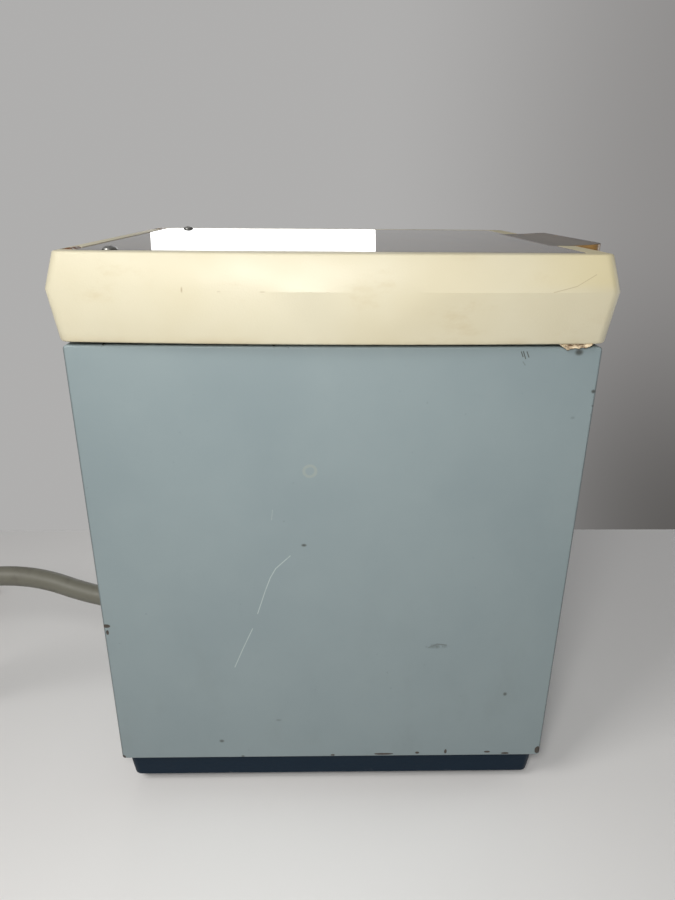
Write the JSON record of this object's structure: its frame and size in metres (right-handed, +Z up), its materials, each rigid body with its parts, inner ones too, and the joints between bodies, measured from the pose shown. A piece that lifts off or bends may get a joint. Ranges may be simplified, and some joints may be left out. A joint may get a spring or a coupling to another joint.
{
  "type": "bench centrifuge",
  "caption": "Small bench centrifuge: sheet metal cabinet, moulded top housing, hinged smoked lid with a finger tab, fixed-angle rotor on a brushed motor, mains lead.",
  "frame": {"origin": "on the surface that the machine stands on, under the middle of its box with the mains lead left out", "axes": "+Z up; -Y to the front, where the lid's finger tab and the controls are; +Y to the rear, where the mains lead leaves; X across the machine"},
  "size_m": [0.1816, 0.545, 0.2602],
  "materials": {
    "panel_paint": "satin grey-blue enamel",
    "tray_paint": "satin dark navy enamel",
    "housing_plastic": "aged cream moulded plastic",
    "smoked_acrylic": "smoked acrylic sheet, polished",
    "anodised": "clear anodised",
    "steel": "zinc plated steel",
    "dark_steel": "laminated core steel",
    "brass": "bare brass",
    "copper": "enamelled copper wire",
    "black_rubber": "matt rubber",
    "grey_rubber": "smooth cable sheath",
    "black_plastic": "moulded black plastic",
    "cream_plastic": "moulded pale plastic",
    "fascia_plastic": "printed panel",
    "lamp_red": "clear red lens",
    "carbon": "pressed carbon",
    "board_green": "solder mask"
  },
  "bodies": {
    "cabinet": {"base_tray": "tray_paint", "rubber_feet": "black_rubber", "foot_screws": "steel", "frame_posts": "steel", "left_side_panel": "panel_paint", "right_side_panel": "panel_paint", "front_panel": "panel_paint", "control_fascia": "fascia_plastic", "rear_panel": "panel_paint", "panel_screws": "steel", "top_housing": "housing_plastic", "lid_gasket": "black_rubber", "catch_magnet": "dark_steel", "hinge_pins": "steel", "interlock_switch": "black_plastic", "rotor_bowl": "anodised", "bowl_screws": "steel", "bowl_seal": "black_rubber", "motor_can": "dark_steel", "motor_end_bell": "anodised", "motor_bearings": "steel", "stator_core": "dark_steel", "stator_windings": "copper", "brush_holders": "brass", "carbon_brushes": "carbon", "motor_plate": "steel", "motor_plate_screws": "steel", "motor_isolators": "black_rubber", "timer_body": "black_plastic", "rocker_switch": "black_plastic", "pilot_lamp": "black_plastic", "lamp_lens": "lamp_red", "pulse_switch": "black_plastic", "circuit_board": "board_green", "transformer": "dark_steel", "terminal_block": "cream_plastic", "fuse_holder": "black_plastic", "strain_relief": "grey_rubber", "power_cord": "grey_rubber", "cord_coil": "grey_rubber", "cord_tail": "grey_rubber", "plug_body": "grey_rubber", "plug_pins": "brass"},
    "lid": {"lid_panel": "smoked_acrylic", "hinge_straps": "steel", "lid_screws": "steel", "striker_plate": "steel"},
    "rotor": {"rotor_body": "anodised", "rotor_hub": "steel", "rotor_nut": "brass", "drive_shaft": "steel", "armature_core": "dark_steel", "armature_windings": "copper", "commutator": "copper", "cooling_fan": "black_plastic"},
    "timer": {"timer_knob": "black_plastic", "timer_shaft": "steel"},
    "rocker": {"power_rocker": "black_plastic"},
    "button": {"pulse_button": "black_plastic"},
    "interlock": {"interlock_pin": "steel"}
  },
  "joints": [
    {"name": "lid_hinge", "type": "hinge", "parent": "cabinet", "child": "lid", "pos_m": [0, 0.1026, 0.2569], "axis": [-1, 0, 0], "range_deg": [0, 100]},
    {"name": "rotor_spin", "type": "hinge", "parent": "cabinet", "child": "rotor", "pos_m": [0, 0.0043, 0.2], "axis": [0, 0, 1], "continuous": true},
    {"name": "timer_turn", "type": "hinge", "parent": "cabinet", "child": "timer", "pos_m": [-0.028, -0.1057, 0.117], "axis": [0, 1, 0], "range_deg": [0, 300]},
    {"name": "rocker_tilt", "type": "hinge", "parent": "cabinet", "child": "rocker", "pos_m": [0.036, -0.0972, 0.106], "axis": [-1, 0, 0], "range_deg": [0, 14]},
    {"name": "button_press", "type": "slide", "parent": "cabinet", "child": "button", "axis": [0, 1, 0], "range_m": [0, 0.003], "stiffness_N_per_m": 300, "springref_m": -0.0005},
    {"name": "interlock_rise", "type": "slide", "parent": "cabinet", "child": "interlock", "axis": [0, 0, 1], "range_m": [0, 0.0022]}
  ],
  "couplings": [
    {"joint": "interlock_rise", "follows": "lid_hinge", "m_per_rad": 0.00114}
  ]
}
